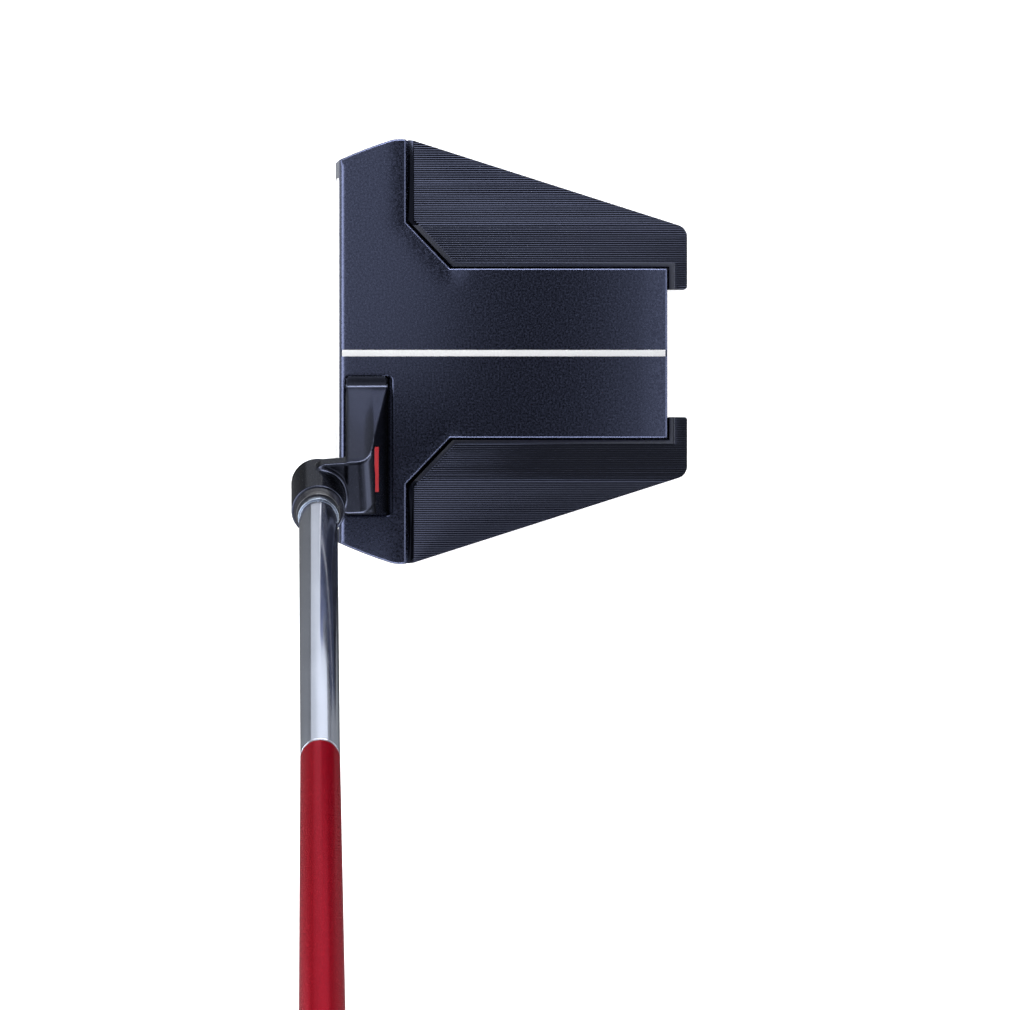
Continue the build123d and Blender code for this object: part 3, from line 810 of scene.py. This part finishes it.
def grip_radius(angle, share, inset):
    """Distance from the shaft line to the grip's surface: a shifted circle with a flat for the thumbs."""
    tables = (GRIP_RADII, GRIP_SHIFTS, GRIP_FLATS)
    ball, shift, flat = (np.interp(share, GRIP_STATIONS, values) for values in tables)
    circle = shift * np.cos(angle) + np.sqrt((ball - inset) ** 2 - (shift * np.sin(angle)) ** 2)
    plane = (flat - inset) / np.maximum(-np.cos(angle), 1e-3)
    both = np.exp(-circle / GRIP_BLEND) + np.exp(-plane / GRIP_BLEND)
    return -GRIP_BLEND * np.log(both) - GRIP_SINK


def grip_pattern(angle, along):
    """Depth of the moulded pattern: fine diagonal diamonds in fields, with plain bands between."""
    place = along % PATTERN_FIELD
    field = np.clip(np.minimum(place - PATTERN_MARGIN, PATTERN_FIELD - PATTERN_MARGIN - place), 0, 1)
    twist = angle * PATTERN_TWIST
    slant = along * PATTERN_SLANT
    diagonal = np.maximum(np.cos(twist + slant), np.cos(twist - slant))
    return PATTERN_DEPTH * field * np.clip((diagonal - 0.55) / 0.3, 0, 1)


def grip_rings(angles):
    """Place and radii of each ring of the skin: up the patterned outside, then down the inside."""
    low = BUTT_T - GRIP_LENGTH + GRIP_END_GAP
    high = BUTT_T - GRIP_CAP_T - GRIP_END_GAP
    rings = []
    for t in np.linspace(low, high, GRIP_OUTER_RINGS):
        rounding = GRIP_EDGE * (1 - min(t - low, high - t, 1.0)) ** 2
        radius = grip_radius(angles, (t - low) / (high - low), 0.0)
        rings.append((t, radius - grip_pattern(angles, t - low) - rounding))
    for t in np.linspace(high, low, GRIP_INNER_RINGS):
        rings.append((t, grip_radius(angles, (t - low) / (high - low), GRIP_SKIN_T)))
    return rings


def make_grip():
    """Moulded skin with its pattern pressed in."""
    angles = np.arange(GRIP_SEGMENTS) * tau / GRIP_SEGMENTS
    rings = grip_rings(angles)
    vertices = [on_shaft(r, a, t) for t, radii in rings for r, a in zip(radii, angles)]
    faces = []
    for i in range(len(rings)):
        low = i * GRIP_SEGMENTS
        high = (i + 1) % len(rings) * GRIP_SEGMENTS
        for k in range(GRIP_SEGMENTS):
            m = (k + 1) % GRIP_SEGMENTS
            faces.append((low + k, low + m, high + m, high + k))
    add_piece("moulded_grip", new_mesh("moulded_grip", vertices, faces, 50.0), ["grip_skin"])


# ---------------------------------------------------------------- finishes


class Nodes:
    """Small helper to wire a material's nodes. Textures lie in the object's own coordinates, in metres."""

    def __init__(self, name):
        self.material = bpy.data.materials.new(name)
        self.material.use_nodes = True
        self.tree = self.material.node_tree
        self.shader = self.tree.nodes["Principled BSDF"]
        self.place = self.add("ShaderNodeTexCoord").outputs["Object"]

    def add(self, kind):
        return self.tree.nodes.new(kind)

    def link(self, source, target):
        self.tree.links.new(source, target)

    def feed(self, source, name):
        """Links a socket to an input of the shader."""
        self.link(source, self.shader.inputs[name])

    def set(self, **values):
        for key, value in values.items():
            self.shader.inputs[key.replace("_", " ")].default_value = value

    def stretched(self, scale):
        mapping = self.add("ShaderNodeMapping")
        mapping.inputs["Scale"].default_value = scale
        self.link(self.place, mapping.inputs["Vector"])
        return mapping.outputs["Vector"]

    def noise(self, scale, detail=3.0, vector=None):
        texture = self.add("ShaderNodeTexNoise")
        texture.inputs["Scale"].default_value = scale
        texture.inputs["Detail"].default_value = detail
        self.link(vector or self.place, texture.inputs["Vector"])
        return texture.outputs["Fac"]

    def ramp(self, value, low, high, low_at=0.3, high_at=0.7):
        ramp = self.add("ShaderNodeValToRGB")
        ramp.color_ramp.elements[0].position = low_at
        ramp.color_ramp.elements[0].color = low
        ramp.color_ramp.elements[1].position = high_at
        ramp.color_ramp.elements[1].color = high
        self.link(value, ramp.inputs["Fac"])
        return ramp.outputs["Color"]

    def bump(self, value, strength, distance):
        bump = self.add("ShaderNodeBump")
        bump.inputs["Strength"].default_value = strength
        bump.inputs["Distance"].default_value = distance * MM
        self.link(value, bump.inputs["Height"])
        self.feed(bump.outputs["Normal"], "Normal")

    def upright(self):
        """How far each face looks up: 1 on a level top, 0 on a wall."""
        split = self.add("ShaderNodeSeparateXYZ")
        self.link(self.add("ShaderNodeNewGeometry").outputs["True Normal"], split.inputs["Vector"])
        return split.outputs["Z"]

    def mixed(self, share, low, high):
        blend = self.add("ShaderNodeMixRGB")
        self.link(share, blend.inputs["Fac"])
        self.link(low, blend.inputs["Color1"])
        self.link(high, blend.inputs["Color2"])
        return blend.outputs["Color"]


def grey(value):
    return (value, value, value, 1.0)


def coat(name, dark, light, rough, grain, bump, spread=0.05, relief=0.4):
    """Paint, plastic or rubber with one fine grain in its colour, gloss and relief."""
    nodes = Nodes(name)
    fine = nodes.noise(grain)
    nodes.feed(nodes.ramp(fine, dark, light), "Base Color")
    nodes.feed(nodes.ramp(fine, grey(rough - spread), grey(rough + spread)), "Roughness")
    nodes.bump(fine, relief, bump)
    return nodes


def plain_coat(name, dark, light, rough, grain, bump):
    return coat(name, dark, light, rough, grain, bump).material


def satin_metal(name, dark, light, rough, grain, bump, metallic=0.0, edge=1.0):
    """Satin coat over metal. Edge scales its shine at a flat angle."""
    nodes = coat(name, dark, light, rough, grain, bump, 0.06, 0.5)
    nodes.set(Metallic=metallic, Specular_Tint=grey(edge))
    return nodes.material


def crown_navy():
    dark, light = (0.034, 0.038, 0.062, 1), (0.056, 0.062, 0.098, 1)
    return satin_metal("crown_navy", dark, light, rough=0.29, grain=2200.0, bump=0.0075, metallic=1.0)


def wing_navy():
    """Painted shade: every face that is not level is near-black glossy metal. Painted light: the level lands
    beside and between the grooves keep a lighter satin coat.
    """
    nodes = Nodes("wing_navy")
    fine = nodes.noise(3200.0)
    # painted shade: a near-black tone for every face that is not level, the grooves among them
    groove_painted_shade = nodes.ramp(fine, (0.0070, 0.0076, 0.0115, 1), (0.0100, 0.0108, 0.0160, 1))
    # painted light: a lighter tone for the level lands, so that they read as lit
    land_painted_light = nodes.ramp(fine, (0.014, 0.016, 0.028, 1), (0.022, 0.025, 0.044, 1))
    is_land = nodes.ramp(nodes.upright(), grey(0.0), grey(1.0), 0.997, 0.9995)
    nodes.feed(nodes.mixed(is_land, groove_painted_shade, land_painted_light), "Base Color")
    nodes.feed(nodes.ramp(is_land, grey(0.12), grey(0.28), 0.0, 1.0), "Roughness")
    nodes.feed(nodes.ramp(is_land, grey(1.0), grey(0.0), 0.0, 1.0), "Metallic")
    nodes.bump(fine, 0.5, 0.001)
    return nodes.material


def body_navy():
    dark, light = (0.032, 0.036, 0.060, 1), (0.050, 0.056, 0.092, 1)
    return satin_metal("body_navy", dark, light, rough=0.30, grain=2600.0, bump=0.005, metallic=1.0)


def neck_black():
    dark, light = (0.022, 0.024, 0.034, 1), (0.028, 0.030, 0.042, 1)
    return satin_metal("neck_black", dark, light, 0.22, grain=4200.0, bump=0.001, metallic=1.0, edge=0.65)


def sole_plate_black():
    dark, light = (0.006, 0.006, 0.008, 1), (0.012, 0.012, 0.015, 1)
    return satin_metal("sole_plate_black", dark, light, rough=0.45, grain=2200.0, bump=0.012)


def brushed_metal(name, colour, rough, along, bump):
    """Bare metal with fine lines left by the tool."""
    nodes = Nodes(name)
    lines = nodes.noise(1.0, 4.0, nodes.stretched(along))
    tint = tuple(c * 0.9 for c in colour[:3]) + (1.0,)
    nodes.feed(nodes.ramp(lines, tint, colour), "Base Color")
    nodes.feed(nodes.ramp(lines, grey(rough * 0.8), grey(rough * 1.25)), "Roughness")
    nodes.bump(lines, 0.3, bump)
    nodes.set(Metallic=1.0)
    return nodes.material


def shaft_chrome():
    return brushed_metal("shaft_chrome", (0.62, 0.65, 0.74, 1), 0.12, (120.0, 120.0, 20.0), 0.001)


def bright_ring():
    return brushed_metal("bright_ring", (0.34, 0.38, 0.44, 1), 0.20, (3000.0, 3000.0, 3000.0), 0.0003)


def weight_steel():
    return brushed_metal("weight_steel", (0.42, 0.42, 0.44, 1), 0.26, (900.0, 900.0, 200.0), 0.004)


def screw_steel():
    return brushed_metal("screw_steel", (0.09, 0.09, 0.10, 1), 0.30, (900.0, 900.0, 400.0), 0.004)


def bare_aluminium():
    return brushed_metal("bare_aluminium", (0.74, 0.75, 0.76, 1), 0.32, (80.0, 900.0, 900.0), 0.004)


def shaft_red():
    """Red metallic lacquer with fine flakes, and little shine at a flat angle."""
    nodes = Nodes("shaft_red")
    flakes = nodes.noise(5200.0, 2.0)
    nodes.feed(nodes.ramp(flakes, (0.20, 0.0, 0.004, 1), (0.32, 0.0, 0.008, 1)), "Base Color")
    nodes.feed(nodes.ramp(flakes, grey(0.20), grey(0.28)), "Roughness")
    nodes.bump(flakes, 0.15, 0.003)
    nodes.set(Metallic=0.6, IOR=1.05, Specular_Tint=(0.75, 0.50, 0.55, 1))
    return nodes.material


def stripe_red():
    return plain_coat("stripe_red", (0.42, 0.012, 0.016, 1), (0.50, 0.018, 0.022, 1), 0.4, 3000.0, 0.004)


def sight_white():
    return plain_coat("sight_white", grey(0.78), grey(0.86), 0.4, 2400.0, 0.006)


def insert_white():
    return plain_coat("insert_white", (0.80, 0.80, 0.79, 1), (0.86, 0.86, 0.85, 1), 0.36, 1800.0, 0.010)


def ferrule_black():
    dark, light = (0.006, 0.006, 0.010, 1), (0.010, 0.010, 0.016, 1)
    return plain_coat("ferrule_black", dark, light, 0.14, 2400.0, 0.0005)


def tape_grey():
    return plain_coat("tape_grey", (0.42, 0.42, 0.40, 1), (0.52, 0.52, 0.50, 1), 0.6, 1500.0, 0.020)


def core_rubber():
    dark, light = (0.012, 0.012, 0.013, 1), (0.022, 0.022, 0.024, 1)
    return plain_coat("core_rubber", dark, light, 0.62, 1200.0, 0.030)


def grip_foam():
    return plain_coat("grip_foam", (0.05, 0.05, 0.055, 1), (0.09, 0.09, 0.095, 1), 0.75, 900.0, 0.080)


def grip_black():
    dark, light = (0.012, 0.012, 0.014, 1), (0.024, 0.024, 0.027, 1)
    return plain_coat("grip_black", dark, light, 0.62, 1700.0, 0.025)


def grip_cap_black():
    dark, light = (0.010, 0.010, 0.011, 1), (0.018, 0.018, 0.019, 1)
    return plain_coat("grip_cap_black", dark, light, 0.5, 1400.0, 0.020)


FINISHES = (
    body_navy, crown_navy, sight_white, wing_navy, screw_steel, insert_white, bare_aluminium,
    tape_grey, core_rubber, sole_plate_black, weight_steel, neck_black, stripe_red, ferrule_black,
    bright_ring, shaft_chrome, shaft_red, grip_foam, grip_black, grip_cap_black,
)
made_finishes = {}


def finish_of(slot):
    """Material of a record slot, made once."""
    if slot not in made_finishes:
        maker = next(f for f in FINISHES if f.__name__ == slot)
        made_finishes[slot] = maker()
    return made_finishes[slot]


# ---------------------------------------------------------------- stage

# Floor, a hair below the sole.
FLOOR_Z = -0.02
FLOOR_HALF = 30000.0

# Fan-shaped cards on the floor round the shaft's foot: name, bearings, brightness, height.
# A bearing is measured from the toe side (-X) towards the target (-Y), in degrees.
CARD_REACH = 260.0
CARD_STEPS = 24
CARDS = (
    ("card_dark", (-180, 180), 0.012, 0.1),
    ("card_grey", (58, 180), 0.035, 0.2),
    ("card_bright", (-37, 45), 0.58, 0.3),
    ("card_edge", (-120, -56), 0.20, 0.2),
)

# Panels over the head: name, X range, Y range, brightness.
GLOW_Z = 110.0
GLOWS = (
    ("glow_front_toe", (-140.0, 6.0), (-95.0, -15.0), 1.0),
    ("glow_front_neck", (6.0, 48.0), (-95.0, -44.0), 1.0),
    ("glow_front_heel", (48.0, 140.0), (-95.0, -15.0), 1.0),
    ("glow_rear", (-140.0, 140.0), (29.0, 100.0), 1.0),
    ("glow_lip", (-300.0, 300.0), (-400.0, -95.0), 5.0),
    ("glow_back", (-300.0, 300.0), (100.0, 400.0), 4.0),
    ("glow_toe", (-300.0, -140.0), (-95.0, 100.0), 26.0),
    ("glow_heel", (140.0, 300.0), (-95.0, 100.0), 18.0),
)

# Low upright panels round the head: name, corners, brightness.
STRIPS = (
    ("strip_front", ((100, -220, 30), (-100, -220, 30), (-100, -220, 108), (100, -220, 108)), 8.0),
    ("strip_rear", ((-140, 240, 30), (140, 240, 30), (140, 240, 108), (-140, 240, 108)), 5.0),
    ("strip_toe", ((-260, -90, 30), (-260, 100, 30), (-260, 100, 108), (-260, -90, 108)), 6.0),
    ("strip_heel", ((260, 100, 30), (260, -90, 30), (260, -90, 108), (260, 100, 108)), 6.0),
)

# Upright soft boxes: name, direction from the head, width, radiance. All stand as far away and as high.
WALL_DISTANCE = 1300.0
WALL_Z = (250.0, 950.0)
WALLS = (
    ("front_wall", (0, -1), 1800.0, 6.0),
    ("toe_wall", (-1, 0), 1400.0, 5.0),
    ("rear_wall", (0, 1), 1800.0, 2.5),
    ("heel_wall", (1, 0), 1400.0, 2.0),
)

# Camera: a long lens high above the head.
CAMERA_LENS = 800.0
CAMERA_SENSOR = 36.0
CAMERA_PLACE = (37.06, -63.0, 5502.0)
CAMERA_AIM = (37.06, -1.74, CROWN_Z)


def flat_emitter(name, brightness):
    material = bpy.data.materials.new(name)
    material.use_nodes = True
    shader = material.node_tree.nodes["Principled BSDF"]
    shader.inputs["Base Color"].default_value = (0, 0, 0, 1)
    shader.inputs["Emission Color"].default_value = (0.90, 0.94, 1.0, 1)
    shader.inputs["Emission Strength"].default_value = brightness
    return material


def hide_back(material):
    """Makes the back of a material's faces clear."""
    nodes, links = material.node_tree.nodes, material.node_tree.links
    mix = nodes.new("ShaderNodeMixShader")
    links.new(nodes.new("ShaderNodeNewGeometry").outputs["Backfacing"], mix.inputs["Fac"])
    links.new(nodes["Principled BSDF"].outputs["BSDF"], mix.inputs[1])
    links.new(nodes.new("ShaderNodeBsdfTransparent").outputs["BSDF"], mix.inputs[2])
    links.new(mix.outputs["Shader"], nodes["Material Output"].inputs["Surface"])
    return material


def make_floor():
    """Plain pale floor, a hair below the sole and clear from underneath."""
    half = FLOOR_HALF * MM
    z = FLOOR_Z * MM
    corners = [(-half, -half, z), (half, -half, z), (half, half, z), (-half, half, z)]
    mesh = bpy.data.meshes.new("floor")
    mesh.from_pydata(corners, [], [(0, 1, 2, 3)])
    nodes = Nodes("floor_pale")
    nodes.set(Base_Color=(0.86, 0.86, 0.86, 1), Roughness=0.9)
    nodes.set(Emission_Color=(1, 1, 1, 1), Emission_Strength=0.8)
    mesh.materials.append(hide_back(nodes.material))
    add_object("floor", mesh)


def add_reflected(name, corners, faces, material):
    """Flat stage object that only reflections show."""
    mesh = bpy.data.meshes.new(name)
    mesh.from_pydata([[c * MM for c in corner] for corner in corners], [], faces)
    mesh.materials.append(material)
    obj = add_object(name, mesh)
    obj.visible_camera = False
    obj.visible_diffuse = False
    obj.visible_shadow = False


def add_card(name, bearings, brightness, height):
    """Fan-shaped card that lies just over the floor, with its corner under the shaft's line."""
    foot = RIM - AXIS * (RIM.z / AXIS.z)
    rays = [radians(b) for b in np.linspace(*bearings, CARD_STEPS)]
    corners = [(foot.x, foot.y, height)]
    corners += [(foot.x - CARD_REACH * cos(r), foot.y - CARD_REACH * sin(r), height) for r in rays]
    faces = [(0, k + 1, k + 2) for k in range(CARD_STEPS - 1)]
    add_reflected(name, corners, faces, flat_emitter(name, brightness))


def add_panel(name, corners, brightness):
    """Panel that glows only on the side that its corners run anticlockwise on."""
    add_reflected(name, corners, [(0, 1, 2, 3)], hide_back(flat_emitter(name, brightness)))


def add_glow(name, x_range, y_range, brightness):
    """Level panel over the head that glows downwards."""
    (x0, x1), (y0, y1) = x_range, y_range
    add_panel(name, [(x0, y0, GLOW_Z), (x0, y1, GLOW_Z), (x1, y1, GLOW_Z), (x1, y0, GLOW_Z)], brightness)


def make_cards():
    """Cards that draw long straight reflections in the shaft, and panels that draw soft ones in the head."""
    for card in CARDS:
        add_card(*card)
    for glow in GLOWS:
        add_glow(*glow)
    for strip in STRIPS:
        add_panel(*strip)


def add_wall(name, towards, wide, radiance):
    """Upright soft box that faces the head from a distance."""
    low, high = WALL_Z
    light = bpy.data.lights.new(name, "AREA")
    light.shape = "RECTANGLE"
    light.size = wide * MM
    light.size_y = (high - low) * MM
    light.energy = radiance * pi * light.size * light.size_y
    obj = bpy.data.objects.new(name, light)
    bpy.context.scene.collection.objects.link(obj)
    outwards = Vector((towards[0], towards[1], 0.0))
    obj.location = (outwards * WALL_DISTANCE + Vector((0, 0, (low + high) / 2))) * MM
    obj.rotation_euler = (-outwards).to_track_quat("-Z", "Y").to_euler()
    obj.visible_camera = False


def make_sky():
    """Grey surroundings that are dark overhead."""
    world = bpy.data.worlds.new("studio")
    world.use_nodes = True
    nodes, links = world.node_tree.nodes, world.node_tree.links
    split = nodes.new("ShaderNodeSeparateXYZ")
    ramp = nodes.new("ShaderNodeValToRGB")
    ramp.color_ramp.elements[0].position = 0.5
    ramp.color_ramp.elements[0].color = (0.42, 0.44, 0.48, 1.0)
    ramp.color_ramp.elements[1].position = 0.92
    ramp.color_ramp.elements[1].color = (0.03, 0.03, 0.04, 1.0)
    links.new(nodes.new("ShaderNodeTexCoord").outputs["Generated"], split.inputs["Vector"])
    links.new(split.outputs["Z"], ramp.inputs["Fac"])
    links.new(ramp.outputs["Color"], nodes["Background"].inputs["Color"])
    bpy.context.scene.world = world
    bpy.context.scene.view_settings.view_transform = "Standard"


def make_camera():
    """Camera over the head, with the toe at the top of the frame."""
    camera = bpy.data.cameras.new("camera")
    camera.lens = CAMERA_LENS
    camera.sensor_width = CAMERA_SENSOR
    camera.clip_start = 0.1
    camera.clip_end = 100.0
    obj = bpy.data.objects.new("camera", camera)
    bpy.context.scene.collection.objects.link(obj)
    place = Vector(CAMERA_PLACE) * MM
    back = (place - Vector(CAMERA_AIM) * MM).normalized()
    right = Vector((-1.0, 0.0, 0.0)).cross(back).normalized()
    up = back.cross(right)
    obj.matrix_world = Matrix.Translation(place) @ Matrix((right, up, back)).transposed().to_4x4()
    bpy.context.scene.camera = obj


def finish_cad_nodes():
    """Gives every CAD node the finish of its slot."""
    for obj in frame["nodes"].values():
        obj.material_slots[0].material = finish_of(obj.data.materials[0].name)


# Pieces with the CAD's own shape: name, node, width of the eased edges, segments across them.
MACHINED = (
    ("head_shell", "head_body", 0.25, 3),
    ("sight_strip", "sight_line", 0.08, 2),
    ("insert", "face_insert", 0.25, 3),
    ("cover_plate", "sole_plate", 0.18, 3),
    ("toe_weight_turned", "toe_weight", 0.12, 3),
    ("heel_weight_turned", "heel_weight", 0.12, 3),
    ("stripe", "neck_stripe", 0.15, 3),
    ("end_cap", "grip_cap", 0.3, 3),
)


def main():
    make_camera()
    make_floor()
    make_cards()
    for wall in WALLS:
        add_wall(*wall)
    make_sky()
    make_shaft()
    make_ferrule()
    make_crown()
    make_wings()
    make_neck()
    make_grip()
    for piece in MACHINED:
        machined(*piece)
    finish_cad_nodes()


main()
